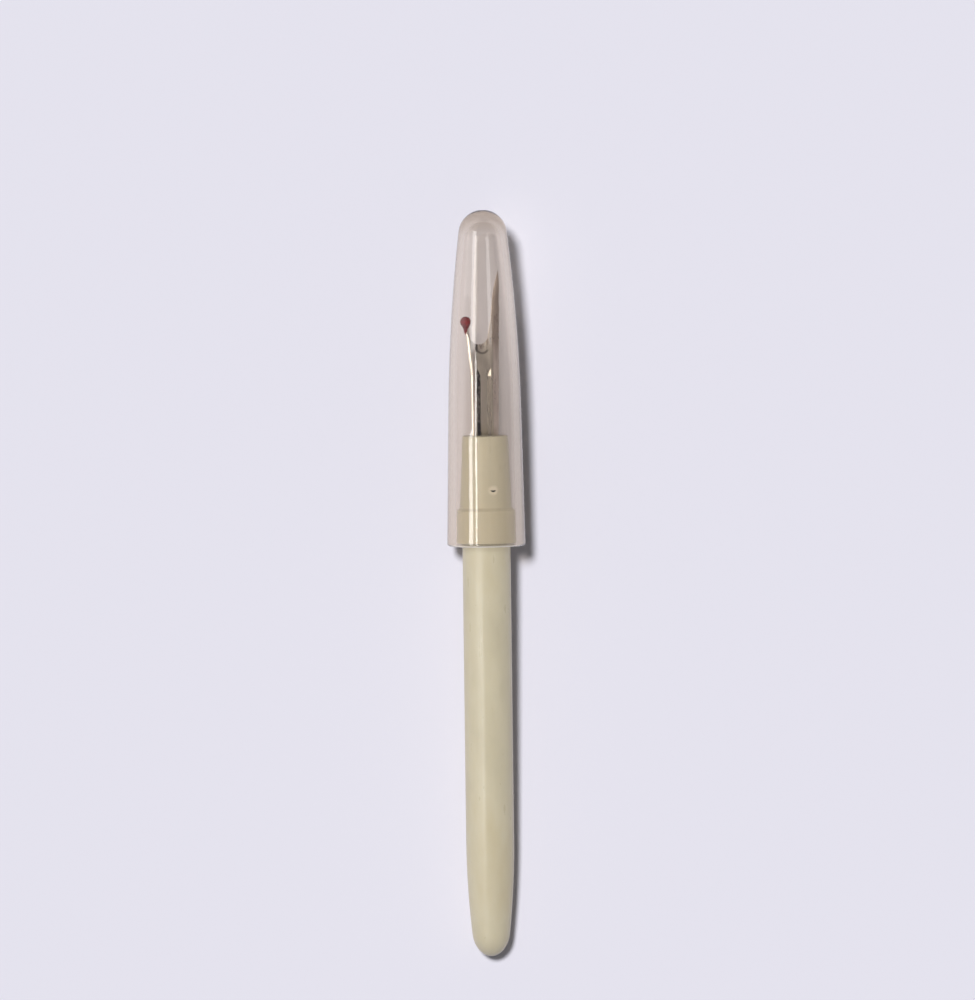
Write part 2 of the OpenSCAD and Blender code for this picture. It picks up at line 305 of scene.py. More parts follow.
plug = swept("pin_crescent_plug", crescent, [(0, 0, -CRESCENT_DEEP)])
boolean(handle, plug, "DIFFERENCE")
lay(handle, "ripper", "handle", angle=32)

# %% [markdown]
# ## The blade
#
# The blade is stamped from sheet steel. Its outline has a long pointed prong on the right, a
# round cutting notch, and a thin short prong on the left that carries the bead. A groove is
# pressed down its middle. It could be carved from a block, but tracing the outline and
# extruding it by the sheet's thickness is what the press does too.

# %% Sizes of the blade
SHEET = 0.9 * MM
STRIP = 4.74 * MM
TANG_END = NECK_TOP - 18 * MM
REACH = TIP - NECK_TOP
NOTCH_R = 1.59 * MM
NOTCH = TIP - 11.5 * MM
POINT = TIP - 6 * MM
NOTCH_LEAN = 12
PRONG_W = 0.55 * MM
FLARE = 9.5 * MM
LEAN_OUT = 0.4 * MM
PRONG_WIDE = 1.98 * MM  # the long prong beside the notch
POINT_WIDE = 1.28 * MM  # the same where its point is ground
POINT_IN = 0.15 * MM
MID_LEAN = 3.2
TIP_LEAN = 18.5
BEAD_R = 0.975 * MM
BEAD_GAP = 0.3 * MM


def edge_x(s):
    """Outer edge of the long prong, which leans out a little."""
    return STRIP / 2 + LEAN_OUT * (s - NECK_TOP) / REACH


def pull(lean):
    """Handle of a curve that leans by an angle from the tool's axis."""
    a = math.radians(lean)
    return Vector((math.sin(a), math.cos(a))) * 0.3 * (TIP - POINT)


notch_x = edge_x(NOTCH) - PRONG_WIDE - NOTCH_R
notch_side = arc((notch_x, NOTCH), NOTCH_R, -NOTCH_LEAN, -180, 32)
mid = Vector((edge_x(POINT) - POINT_WIDE, POINT))
point = Vector((edge_x(TIP) - POINT_IN, TIP))
shoulder_x = notch_x - NOTCH_R - PRONG_W
prong_root_x = shoulder_x + PRONG_W / 2
bead_s = NOTCH + 2.4 * MM
bore_dome_s = BORE_TOP - BORE_DOME_R
bore_big, bore_c, bore_meet = ogive(bore_at(WAIST), WAIST, BORE_DRAFT, BORE_DOME_R, bore_dome_s)
bead_x = BEAD_R + BEAD_GAP - (bore_c[0] + math.sqrt(bore_big**2 - (bead_s - bore_c[1]) ** 2))
print("notch at x %.2f mm, bead at x %.2f mm" % (notch_x / MM, bead_x / MM))

# %% Outline of the blade
leave = Vector(notch_side[0])
back_corner = TIP - 1.2 * MM
flare_mid = NOTCH - FLARE / 2
prong_top = bead_s + 0.35 * MM
flare_from, flare_to = (-STRIP / 2, NOTCH - FLARE), (shoulder_x, NOTCH)
left_edge = curve(flare_from, (-STRIP / 2, flare_mid), (prong_root_x, flare_mid), flare_to, 20)
left_edge += [(bead_x - 0.2 * MM, prong_top)]
outline = [(-STRIP / 2, TANG_END), (STRIP / 2, TANG_END), (STRIP / 2, NECK_TOP)]
outline += [(edge_x(back_corner), back_corner)]
outline += curve(point, point - pull(TIP_LEAN), mid + pull(MID_LEAN), mid, 20)
outline += curve(mid, mid - pull(MID_LEAN), leave + pull(NOTCH_LEAN), leave, 20)[1:]
outline += notch_side[1:]
outline += [(bead_x + 0.24 * MM, prong_top)] + left_edge[::-1]
blade = swept("forked_blade_steel", [(x, s, -SHEET / 2) for x, s in outline], [(0, 0, SHEET)])
print("blade outline:", len(outline), "points")

# %% [markdown]
# The groove and the rib behind it have sloping sides. The groove's floor rises in a ramp to
# its end, so its two sides run out in points. Each form is a wide loop traced at the face and
# a narrow loop at the bottom, bridged together. The rib is joined on and the groove cut out.

# %% Pressed groove and its rib
GROOVE_X = -0.08 * MM
GROOVE_HALF = 1.25 * MM
GROOVE_DEPTH = 0.35 * MM
GROOVE_SIDE = 0.6 * MM
GROOVE_END = NOTCH - NOTCH_R - 4.1 * MM
RAMP = 1.4 * MM
RAMP_BOW = 0.25 * MM
LIFT = 0.1 * MM  # the form stands this far through the face, so no two faces coincide
FORM_START = TANG_END - 9 * MM
rib_half = GROOVE_HALF + SHEET * math.tan(math.atan2(GROOVE_DEPTH, GROOVE_SIDE) / 2)


def pressed_loop(half, end, bow, z):
    """Closed loop of a groove from before the tang to its end, which bows towards the tang."""
    ends = [(1 - i / 6, end - bow * (1 - (1 - i / 6) ** 2)) for i in range(13)]
    loop = [(half, FORM_START)] + [(half * k, s) for k, s in ends] + [(-half, FORM_START)]
    return [(GROOVE_X + x, s, z) for x, s in loop] + [(GROOVE_X + loop[0][0], loop[0][1], z)]


def pressed_form(name, half, face, depth):
    """A groove's solid form, from just above the face down to its floor."""
    side = GROOVE_SIDE * (depth + LIFT) / depth
    rise = RAMP * LIFT / depth
    floor_half = half - GROOVE_SIDE
    floor_loop = pressed_loop(floor_half, GROOVE_END - RAMP, RAMP_BOW, face - depth)
    low = trace(name + "_floor", floor_loop)
    bpy.ops.object.mode_set(mode="OBJECT")
    top = trace(name, pressed_loop(floor_half + side, GROOVE_END + rise, 0, face + LIFT))
    bpy.ops.object.mode_set(mode="OBJECT")
    low.select_set(True)
    bpy.ops.object.join()
    bpy.ops.object.mode_set(mode="EDIT")
    bpy.ops.mesh.select_all(action="SELECT")
    bpy.ops.mesh.remove_doubles(threshold=0.001 * MM)
    bpy.ops.mesh.bridge_edge_loops()
    bpy.ops.mesh.select_all(action="SELECT")
    bpy.ops.mesh.fill_holes(sides=0)
    bpy.ops.mesh.normals_make_consistent(inside=False)
    bpy.ops.object.mode_set(mode="OBJECT")
    return top


rib = pressed_form("blade_rib", rib_half, -SHEET / 2, GROOVE_DEPTH)
boolean(blade, rib, "UNION")
corners = [(-STRIP, -SHEET), (STRIP, -SHEET), (STRIP, SHEET), (-STRIP, SHEET)]
over = swept("rib_trim", [(x, TANG_END, z) for x, z in corners], [(0, -30 * MM, 0)])
boolean(blade, over, "DIFFERENCE")
groove = pressed_form("blade_groove", GROOVE_HALF, SHEET / 2, GROOVE_DEPTH)
boolean(blade, groove, "DIFFERENCE")
print("pressed blade:", len(blade.data.polygons), "faces")

# %% [markdown]
# The working edges are ground after stamping. A slanted round stone hollows the notch, two
# flat cuts thin the point, two more thin the short prong, and a narrow facet runs down the
# left edge. Each cut is a simple solid swept along the path that the stone takes.

# %% Ground edges of the blade
STONE_R = 1.2 * MM
STONE_TILT = math.radians(55)
STONE_LEN = 23 * MM
TIP_SHEET = 0.15 * MM  # thickness that is left at the very point
THIN = 0.15 * MM  # taken off each face of the short prong
THIN_RUN = 0.7 * MM
RUN_OUT = 2 * MM  # a flat cut starts and ends this far past the edge that it makes
stone_at = (notch_x, NOTCH - NOTCH_R + STONE_R / math.cos(STONE_TILT), -SHEET / 2)
bpy.ops.object.select_all(action="DESELECT")
bpy.ops.mesh.primitive_cylinder_add(
    vertices=128,
    radius=STONE_R,
    depth=STONE_LEN,
    location=stone_at,
    rotation=(STONE_TILT, 0, 0),
)
boolean(blade, bpy.context.object, "DIFFERENCE")

face = SHEET / 2
fall = (SHEET - TIP_SHEET) / 2 / (TIP - POINT)
cut_from, cut_to = POINT - RUN_OUT, TIP + RUN_OUT
wedge = [(cut_from, face + RUN_OUT * fall), (cut_to, face - (cut_to - POINT) * fall)]
wedge += [(cut_to, face + MM), (cut_from, face + MM)]
thin = [(NOTCH - THIN_RUN, face + 0.05 * MM), (NOTCH + THIN_RUN, face - THIN)]
thin += [(TIP, face - THIN), (TIP, face + MM), (NOTCH - THIN_RUN, face + MM)]
cuts = [("point_stone", wedge, 0, 4 * MM), ("prong_stone", thin, -6 * MM, 4.4 * MM)]
for side in (1, -1):
    for name, line, x, width in cuts:
        stone = swept(name, [(x, s, side * z) for s, z in line], [(width, 0, 0)])
        boolean(blade, stone, "DIFFERENCE")

FACET = 0.42 * MM
FACET_TILT = math.tan(math.radians(23))
INSIDE, OUTSIDE = 0.2 * MM, 0.3 * MM  # how far the stone reaches past the facet
path = [(-STRIP / 2, NECK_TOP - 3 * MM)] + left_edge + [(bead_x - 0.4 * MM, prong_top + MM)]
x0, s0 = path[0]
facet = [(FACET + INSIDE, INSIDE * FACET_TILT), (-OUTSIDE, -(FACET + OUTSIDE) * FACET_TILT)]
facet += [(-OUTSIDE, MM), (FACET + INSIDE, MM)]
moves = [(b[0] - a[0], b[1] - a[1], 0) for a, b in zip(path, path[1:])]
stone = swept("edge_stone", [(x0 + x, s0, face + z) for x, z in facet], moves)
boolean(blade, stone, "DIFFERENCE")
print("ground blade:", len(blade.data.polygons), "faces")

# %% [markdown]
# Real stamped steel has no razor corners except where it is ground. Stray points left by the
# cuts are merged, and a hair-fine bevel on the remaining corners catches the light.

# %% Finish the blade
pick(blade)
bpy.ops.object.mode_set(mode="EDIT")
bpy.ops.mesh.select_all(action="SELECT")
bpy.ops.mesh.remove_doubles(threshold=0.008 * MM)
bpy.ops.mesh.dissolve_limited(angle_limit=math.radians(0.5))
bpy.ops.object.mode_set(mode="OBJECT")
applied(
    blade,
    "BEVEL",
    width=0.035 * MM,
    segments=2,
    limit_method="ANGLE",
    angle_limit=math.radians(28),
    use_clamp_overlap=False,
    harden_normals=False,
)
lay(blade, "ripper", "forked_blade", angle=24)

# %% [markdown]
# ## The bead
#
# A drop of red plastic guards the short prong. It is round, with a tail that has run down the
# prong's left side, so it is a small lathe piece that leans less than the prong does.

# %% Bead
DROP_LEAN = 0.35  # the drop's share of the prong's lean
ball = arc((0, 0), BEAD_R, -40, 90, 28)
drop_tail = [(0.26 * MM, -2.15 * MM), (0.4 * MM, -1.6 * MM), (0.42 * MM, -1.02 * MM)]
drop_end = [(0, -2.25 * MM), (0.16 * MM, -2.22 * MM)]
drop_line = drop_end + curve(*drop_tail, ball[0], 16) + ball[1:]
bead = spun("safety_bead_drop", drop_line, steps=64)
lean = math.atan2(prong_root_x - bead_x, bead_s - NOTCH) * DROP_LEAN
bead.matrix_world = Matrix.Translation((bead_x, bead_s, 0)) @ Matrix.Rotation(lean, 4, "Z")
pick(bead)
bpy.ops.object.transform_apply(location=True, rotation=True, scale=True)
lay(bead, "ripper", "safety_bead", angle=40)
print("bead leans %.1f degrees" % math.degrees(lean))

# %% [markdown]
# ## The clear cap
#
# The cap is moulded on a core, so its bore has its own slight taper and its own dome, and the
# tip is thick. One profile runs down the bore, round the lip and up the outside, so a single
# spin gives both walls. The plastic was let in at the tip, which keeps a small dimple there.

# %% Profile of the cap
waist_r = MOUTH_R - (WAIST - RIM) * math.tan(CAP_DRAFT)
out_big, out_c, out_meet = ogive(waist_r, WAIST, CAP_DRAFT, DOME_R, CAP_TOP - DOME_R)
draft_deg, bore_deg = math.degrees(CAP_DRAFT), math.degrees(BORE_DRAFT)


def cap_at(s):
    """Radius of the cap's outside at a distance from the tail."""
    if s < WAIST:
        return MOUTH_R - (s - RIM) * math.tan(CAP_DRAFT)
    return out_c[0] + math.sqrt(out_big**2 - (s - out_c[1]) ** 2)


CHAMFER = 0.3 * MM
GATE_R = 0.75 * MM
GATE_DEEP = 0.04 * MM
lip_in = (bore_at(RIM + CHAMFER), RIM + CHAMFER)
lip_out = (bore_at(RIM + CHAMFER) + CHAMFER, RIM)
bore_waist = (bore_at(WAIST), WAIST)
rim_c_s = RIM + RIM_ROUND
rim_c_r = MOUTH_R - RIM_ROUND * math.tan(CAP_DRAFT) - RIM_ROUND / math.cos(CAP_DRAFT)

cap_line = arc((0, bore_dome_s), BORE_DOME_R, 90, bore_meet, 40)
cap_line += arc(bore_c, bore_big, bore_meet, bore_deg, 30)[1:]
bore_run = lip_in[1] + CHAMFER - WAIST
cap_line += [(bore_at(s), s) for s in [WAIST + bore_run * i / 10 for i in range(1, 10)]]
cap_line += soft_corner(bore_waist, lip_in, lip_out, 0.15 * MM)
cap_line += soft_corner(lip_in, lip_out, (MOUTH_R, RIM), 0.12 * MM)
cap_line += arc((rim_c_r, rim_c_s), RIM_ROUND, -90, draft_deg, 20)
side_r, side_s = cap_line[-1]
side_in, side_run = waist_r - side_r, WAIST - side_s
cap_line += [(side_r + side_in * i / 10, side_s + side_run * i / 10) for i in range(1, 10)]
cap_line += arc(out_c, out_big, draft_deg, out_meet, 30)
dome = arc((0, CAP_TOP - DOME_R), DOME_R, out_meet, 90, 48)[1:]
cap_line += [(r, s - GATE_DEEP * max(0, 1 - (r / GATE_R) ** 2) ** 2) for r, s in dome]
cap_line[0] = (0, BORE_TOP)
cap_line[-1] = (0, cap_line[-1][1])
cap = spun("clear_cap_shell", cap_line, steps=192)
lay(cap, "cap", "clear_cap", angle=40)
print("cap profile:", len(cap_line), "points")

# %% [markdown]
# ## Finishes
#
# Every finish is worked out from the place on the tool, in millimetres along and across its
# axis, so the grain follows the tool when it is laid at a slope.


# %% Helpers for materials
def srgb(r, g, b):
    """Linear colour of an 8-bit screen colour."""
    out = []
    for v in (r, g, b):
        v = v / 255
        out.append(v / 12.92 if v <= 0.04045 else ((v + 0.055) / 1.055) ** 2.4)
    return (*out, 1.0)


def new_material(name):
    """A material, its nodes and its shader."""
    mat = bpy.data.materials.new(name)
    mat.use_nodes = True
    return mat, mat.node_tree, mat.node_tree.nodes["Principled BSDF"]


def add(tree, kind, **inputs):
    """A node with some of its inputs set."""
    node = tree.nodes.new(kind)
    for key, value in inputs.items():
        node.inputs[key].default_value = value
    return node


def tool_space(tree, scale=(1, 1, 1)):
    """Coordinates across, along and above the tool, in millimetres times scale."""
    back = LAY.inverted()
    coord = tree.nodes.new("ShaderNodeTexCoord")
    turn = add(tree, "ShaderNodeMapping", Rotation=(-slope, 0, 0), Location=back.to_translation())
    size = add(tree, "ShaderNodeMapping", Scale=tuple(v / MM for v in scale))
    tree.links.new(coord.outputs["Object"], turn.inputs["Vector"])
    tree.links.new(turn.outputs["Vector"], size.inputs["Vector"])
    return size.outputs["Vector"]


def noise(tree, scale, detail):
    """Soft noise between 0 and 1, finer along an axis with a larger scale."""
    node = add(tree, "ShaderNodeTexNoise", Scale=1.0, Detail=detail, Roughness=0.55)
    tree.links.new(tool_space(tree, scale), node.inputs["Vector"])
    return node.outputs["Fac"]


def ramp(tree, fac, stops):
    """Colour ramp through (position, colour) stops."""
    node = tree.nodes.new("ShaderNodeValToRGB")
    bar = node.color_ramp.elements
    while len(bar) < len(stops):
        bar.new(0.5)
    for item, (pos, colour) in zip(bar, stops):
        item.position = pos
        item.color = colour if len(colour) == 4 else (*colour, 1.0)
    tree.links.new(fac, node.inputs["Fac"])
    return node.outputs["Color"]


def levels(tree, fac, low, high, to_low, to_high):
    """Map the range from low to high onto another, and hold it at its ends."""
    node = add(tree, "ShaderNodeMapRange")
    keys = ("From Min", "From Max", "To Min", "To Max")
    for key, value in zip(keys, (low, high, to_low, to_high)):
        node.inputs[key].default_value = value
    tree.links.new(fac, node.inputs["Value"])
    return node.outputs["Result"]


def math_node(tree, op, a, b=None):
    """One step of arithmetic on sockets or numbers."""
    if op == "HYPOT":
        a, b = math_node(tree, "MULTIPLY", a, a), math_node(tree, "MULTIPLY", b, b)
        return math_node(tree, "SQRT", math_node(tree, "ADD", a, b))
    node = tree.nodes.new("ShaderNodeMath")
    node.operation = op
    for i, v in enumerate((a, b)):
        if v is None:
            continue
        if isinstance(v, (int, float)):
            node.inputs[i].default_value = v
        else:
            tree.links.new(v, node.inputs[i])
    return node.outputs["Value"]


def blend(tree, fac, a, b, mode="MIX"):
    """Mix of two colours, each a socket or a value."""
    node = tree.nodes.new("ShaderNodeMix")
    node.data_type = "RGBA"
    node.blend_type = mode
    colours = [socket for socket in node.inputs if socket.type == "RGBA"]
    for socket, v in zip([node.inputs[0]] + colours, (fac, a, b)):
        if isinstance(v, (int, float, tuple)):
            socket.default_value = v
        else:
            tree.links.new(v, socket)
    return [s for s in node.outputs if s.type == "RGBA"][0]


def bump(tree, height, distance, strength):
    """Surface normals of a height."""
    node = add(tree, "ShaderNodeBump", Strength=strength, Distance=distance)
    tree.links.new(height, node.inputs["Height"])
    return node.outputs["Normal"]


# %% [markdown]
# The handle is glossy ivory plastic, a little translucent. Its colour wanders softly, with
# fine flow lines along the tool, rubbed spots, and the faint line where the mould closed. The
# neck is painted paler under the cap, a painted light that makes up for the lamp light the
# cap takes away. The pin's hole has a paler spot round it and painted shade in its bottom.
# A picture could be wrapped round it, but a colour that is worked out from the place on the
# tool has no seam and stays sharp.

# %% Ivory plastic
mat, tree, bsdf = new_material("ivory_plastic")
soft = noise(tree, (0.16, 0.07, 0.16), 3.0)
IVORY = [(0.3, srgb(168, 159, 136)), (0.52, srgb(175, 166, 143)), (0.75, srgb(170, 159, 133))]
tone = ramp(tree, soft, IVORY)
speck = levels(tree, noise(tree, (2.2, 2.2, 2.2), 2.0), 0.68, 0.76, 0.0, 0.25)
tone = blend(tree, speck, tone, srgb(150, 138, 112))
sep = tree.nodes.new("ShaderNodeSeparateXYZ")
tree.links.new(tool_space(tree), sep.inputs["Vector"])
seam = levels(tree, math_node(tree, "ABSOLUTE", sep.outputs["Z"]), 0.03, 0.14, 1.0, 0.0)
tone = blend(tree, math_node(tree, "MULTIPLY", seam, 0.25), tone, srgb(136, 123, 97))
# painted light: the neck is painted paler under the cap, for lamp light that the cap takes away
neck_painted_paler = levels(tree, sep.outputs["Y"], RIM / MM - 0.5, RIM / MM + 0.5, 0.0, 0.65)
tone = blend(tree, neck_painted_paler, tone, srgb(190, 186, 170))
# a paler spot round the pin's hole
hole_x = math_node(tree, "SUBTRACT", sep.outputs["X"], CRESCENT_X / MM)
hole_y = math_node(tree, "SUBTRACT", sep.outputs["Y"], HOLE_S / MM)
from_hole = math_node(tree, "HYPOT", hole_x, hole_y)
tone = blend(tree, levels(tree, from_hole, 0.65, 0.95, 0.5, 0.0), tone, srgb(222, 215, 200))
# painted shade: the bottom of the pin's hole is painted dark
from_axis = math_node(tree, "HYPOT", sep.outputs["X"], sep.outputs["Z"])
skin = neck_r_here / MM
deep = levels(tree, from_axis, skin - 0.35, skin - 0.12, 1.0, 0.0)
deep = math_node(tree, "MULTIPLY", deep, levels(tree, from_hole, 0.6, 0.7, 1.0, 0.0))
tone = blend(tree, deep, tone, srgb(34, 28, 24))
tree.links.new(tone, bsdf.inputs["Base Color"])
flow = noise(tree, (1.6, 0.06, 1.6), 4.0)
rub = noise(tree, (0.35, 0.25, 0.35), 4.0)
worn = levels(tree, math_node(tree, "ADD", flow, rub), 0.7, 1.3, 0.26, 0.4)
tree.links.new(worn, bsdf.inputs["Roughness"])
fine = math_node(tree, "MULTIPLY", noise(tree, (6, 1.2, 6), 3.0), 0.35)
height = math_node(tree, "ADD", flow, fine)
height = math_node(tree, "ADD", height, math_node(tree, "MULTIPLY", seam, 2.0))
tree.links.new(bump(tree, height, 0.02 * MM, 0.6), bsdf.inputs["Normal"])
bsdf.inputs["IOR"].default_value = 1.5
bsdf.inputs["Subsurface Weight"].default_value = 0.12
bsdf.inputs["Subsurface Radius"].default_value = (1.0, 0.75, 0.45)
bsdf.inputs["Subsurface Scale"].default_value = 0.8 * MM
handle.data.materials.append(mat)
print("ivory plastic made")

# %% [markdown]
# The blade is plain steel, grey and a little tarnished. A grain runs along it, with darker
# stains and small pits, and the long prong has gone browner. The groove's left side, which
# faces away from the lamps, is painted dark and mottled as painted shade, and its right side
# below the ramp is painted darker, a painted shade that keeps its glint small. A dark half
# ring below the notch is painted shade in place of the shaded edge of a ground hollow, and
# the strip along the left edge is painted lighter, a painted reflection. All of this is mixed
# into the colour of one metal, so that the shine stays that of one sheet.

# %% Blade steel
mat, tree, bsdf = new_material("blade_steel")
grain = noise(tree, (3.2, 0.22, 3.2), 5.0)
stain = noise(tree, (0.5, 0.28, 0.5), 4.0)
STEEL = [(0.3, srgb(204, 192, 184)), (0.55, srgb(222, 210, 202)), (0.75, srgb(236, 227, 220))]
tone = ramp(tree, grain, STEEL)
tone = blend(tree, levels(tree, stain, 0.5, 0.75, 0.0, 0.5), tone, srgb(172, 156, 148))
pit = levels(tree, noise(tree, (1.7, 1.3, 1.7), 2.0), 0.68, 0.72, 0.0, 0.8)
tone = blend(tree, pit, tone, srgb(96, 80, 72))
place = tree.nodes.new("ShaderNodeSeparateXYZ")
tree.links.new(tool_space(tree), place.inputs["Vector"])
facing = tree.nodes.new("ShaderNodeSeparateXYZ")
tree.links.new(tree.nodes.new("ShaderNodeTexCoord").outputs["Normal"], facing.inputs["Vector"])
in_groove = levels(tree, math_node(tree, "ABSOLUTE", place.outputs["X"]), 1.5, 1.6, 1.0, 0.0)
tone = blend(tree, math_node(tree, "MULTIPLY", in_groove, 0.6), tone, srgb(176, 172, 156))
# painted shade: the groove's left side, which faces away from the lamps, is painted dark and
# mottled
left_wall_painted_shade = levels(tree, facing.outputs["X"], 0.15, 0.35, 0.0, 1.0)
left_wall_painted_shade = math_node(tree, "MULTIPLY", left_wall_painted_shade, in_groove)
mottle = levels(tree, noise(tree, (1.4, 0.9, 1.4), 3.0), 0.4, 0.52, 0.55, 1.0)
tone = blend(tree, math_node(tree, "MULTIPLY", left_wall_painted_shade, mottle), tone, srgb(30, 22, 18))
# painted shade: the groove's right side below the ramp is painted darker, which keeps its glint
# small
right_wall_painted_shade = levels(tree, facing.outputs["X"], -0.35, -0.15, 0.9, 0.0)
right_wall_painted_shade = math_node(tree, "MULTIPLY", right_wall_painted_shade, in_groove)
ramp_foot = (GROOVE_END - RAMP) / MM
below_ramp = levels(tree, place.outputs["Y"], ramp_foot - 0.21, ramp_foot + 0.09, 1.0, 0.0)
right_wall_painted_shade = math_node(tree, "MULTIPLY", right_wall_painted_shade, below_ramp)
tone = blend(tree, right_wall_painted_shade, tone, srgb(70, 64, 60))
notch_y = NOTCH / MM
# painted shade: a dark half ring below the notch, in place of the shaded edge of a ground hollow
RING_X, RING_Y, RING_R = -0.33, notch_y - 2.1, 1.03
ring_x = math_node(tree, "SUBTRACT", place.outputs["X"], RING_X)
ring_y = math_node(tree, "SUBTRACT", place.outputs["Y"], RING_Y)
off_ring = math_node(tree, "SUBTRACT", math_node(tree, "HYPOT", ring_x, ring_y), RING_R)
ring_painted_shade = levels(tree, math_node(tree, "ABSOLUTE", off_ring), 0.08, 0.3, 0.7, 0.0)
slant = math_node(tree, "ADD", place.outputs["X"], place.outputs["Y"])
lower_half = levels(tree, slant, notch_y - 2.2, notch_y - 1.6, 1.0, 0.0)
ring_painted_shade = math_node(tree, "MULTIPLY", ring_painted_shade, lower_half)
tone = blend(tree, ring_painted_shade, tone, srgb(60, 50, 45))
on_prong = levels(tree, place.outputs["Y"], notch_y - 2.5, notch_y - 1.2, 0.0, 0.8)
right_side = levels(tree, place.outputs["X"], 0.2, 0.6, 0.0, 1.0)
on_prong = math_node(tree, "MULTIPLY", on_prong, right_side)
tone = blend(tree, on_prong, tone, srgb(176, 160, 147))
# painted reflection: the strip along the left edge is painted lighter
ground = levels(tree, place.outputs["X"], -2.3, -1.4, 0.8, 0.0)
tone = blend(tree, ground, tone, srgb(212, 208, 200))
tree.links.new(tone, bsdf.inputs["Base Color"])
worn = levels(tree, math_node(tree, "ADD", grain, stain), 0.6, 1.4, 0.24, 0.36)
tree.links.new(worn, bsdf.inputs["Roughness"])
height = math_node(tree, "SUBTRACT", grain, pit)
tree.links.new(bump(tree, height, 0.01 * MM, 0.3), bsdf.inputs["Normal"])
bsdf.inputs["Metallic"].default_value = 1.0
blade.data.materials.append(mat)
print("steel made")

# %% [markdown]
# The bead is deep red plastic, dipped rather than moulded, so it is glossy and uneven. Its
# red drifts a little, and a low bump keeps the gloss from being that of a perfect ball.

# %% Red plastic
mat, tree, bsdf = new_material("red_plastic")
cloud = noise(tree, (0.9, 0.9, 0.9), 3.0)
tone = ramp(tree, cloud, [(0.3, srgb(92, 6, 9)), (0.7, srgb(122, 15, 16))])
tree.links.new(tone, bsdf.inputs["Base Color"])
tree.links.new(levels(tree, cloud, 0.3, 0.7, 0.2, 0.34), bsdf.inputs["Roughness"])
uneven = noise(tree, (1.8, 1.8, 1.8), 2.0)
tree.links.new(bump(tree, uneven, 0.05 * MM, 0.5), bsdf.inputs["Normal"])
bsdf.inputs["IOR"].default_value = 1.4
bead.data.materials.append(mat)
print("red plastic made")

# %% [markdown]
# The cap is clear moulded plastic that has been handled. It bends light at both walls and
# soaks up a little blue on the way, which tints its thick places. Fine streaks run along it
# from the moulding, rubbing has left hair scratches and dull spots, and its lip is frosted.
# Lamp light that is bent twice is slow to trace, so lamps shine straight through the walls,
# which dim them where the real cap throws its soft shadow.

# %% Clear plastic
mat, tree, bsdf = new_material("clear_plastic")
streak = noise(tree, (1.1, 0.035, 1.1), 4.0)
haze = noise(tree, (0.3, 0.2, 0.3), 4.0)
tone = ramp(tree, streak, [(0.3, (0.95, 0.931, 0.912)), (0.7, (1.0, 0.981, 0.962))])
across = tree.nodes.new("ShaderNodeSeparateXYZ")
tree.links.new(tool_space(tree), across.inputs["Vector"])
rim_y, top_y = RIM / MM, CAP_TOP / MM
frost = levels(tree, across.outputs["Y"], rim_y + 0.05, rim_y + 0.35, 1.0, 0.0)
at_tip = levels(tree, across.outputs["Y"], top_y - 5.0, top_y - 0.8, 0.0, 1.0)
tone = blend(tree, at_tip, tone, (0.84, 0.81, 0.78, 1.0))
tree.links.new(blend(tree, frost, tone, (0.78, 0.75, 0.72, 1.0)), bsdf.inputs["Base Color"])
tree.links.new(levels(tree, frost, 0.0, 1.0, 1.0, 0.3), bsdf.inputs["Transmission Weight"])
dull = levels(tree, haze, 0.35, 0.75, 0.015, 0.06)
dull = math_node(tree, "MAXIMUM", dull, math_node(tree, "MULTIPLY", frost, 0.35))
tree.links.new(dull, bsdf.inputs["Roughness"])
hair = noise(tree, (5.0, 0.25, 5.0), 4.0)
height = math_node(tree, "ADD", streak, math_node(tree, "MULTIPLY", hair, 0.25))
tree.links.new(bump(tree, height, 0.03 * MM, 0.35), bsdf.inputs["Normal"])
bsdf.inputs["IOR"].default_value = 1.55
print("clear plastic made")

# %% [markdown]
# What a lamp's ray loses in the cap is worked out apart. The soft shadow beside the cap is
# thrown by a narrow stretch along its right side, past a line that is found from the slant of
# the light, and the lower half of the rim throws the dark edge below it. The rest of the wall
# takes away a little.

# %% Lamp light through the cap
STEPS = 6
SLANT_ACROSS = 0.21  # sideways run of the light for each unit of height
SLANT_ALONG = 2.3 * MM
RAMP_UNIT = 10.0  # a colour ramp holds 0 to 1, here centimetres
along = levels(tree, across.outputs["Y"], rim_y, top_y, 0.0, 1.0)
stops = []
for i in range(STEPS + 1):
    s = RIM + (CAP_TOP - RIM) * i / STEPS
    axis_high = (LAY @ Vector((0, s, 0))).z
    inward = (0.3 + 0.5 * i / STEPS) * MM
    line = max(cap_at(s - SLANT_ALONG) - SLANT_ACROSS * axis_high - inward, 0)
    stops.append((i / STEPS, (line / MM / RAMP_UNIT,) * 3))
out_x = math_node(tree, "DIVIDE", across.outputs["X"], RAMP_UNIT)
past = math_node(tree, "SUBTRACT", out_x, ramp(tree, along, stops))
shade = levels(tree, past, -0.03, 0.03, 1.0, 0.1)
wall = levels(tree, across.outputs["Z"], -0.5, 0.5, 0.92, 0.86)
rim_edge = levels(tree, across.outputs["Y"], rim_y + 2.2, rim_y + 2.8, 0.85, 0.0)
low_side = levels(tree, across.outputs["Z"], 1.5, 2.5, 1.0, 0.0)
rim_edge = math_node(tree, "MULTIPLY", rim_edge, low_side)
pass_on = math_node(tree, "MULTIPLY", shade, wall)
pass_on = math_node(tree, "MULTIPLY", pass_on, math_node(tree, "SUBTRACT", 1.0, rim_edge))
through = tree.nodes.new("ShaderNodeBsdfTransparent")
tree.links.new(pass_on, through.inputs["Color"])
lamp_ray = tree.nodes.new("ShaderNodeLightPath")
either = tree.nodes.new("ShaderNodeMixShader")
tree.links.new(lamp_ray.outputs["Is Shadow Ray"], either.inputs["Fac"])
tree.links.new(bsdf.outputs["BSDF"], either.inputs[1])
tree.links.new(through.outputs["BSDF"], either.inputs[2])
tree.links.new(either.outputs["Shader"], tree.nodes["Material Output"].inputs["Surface"])
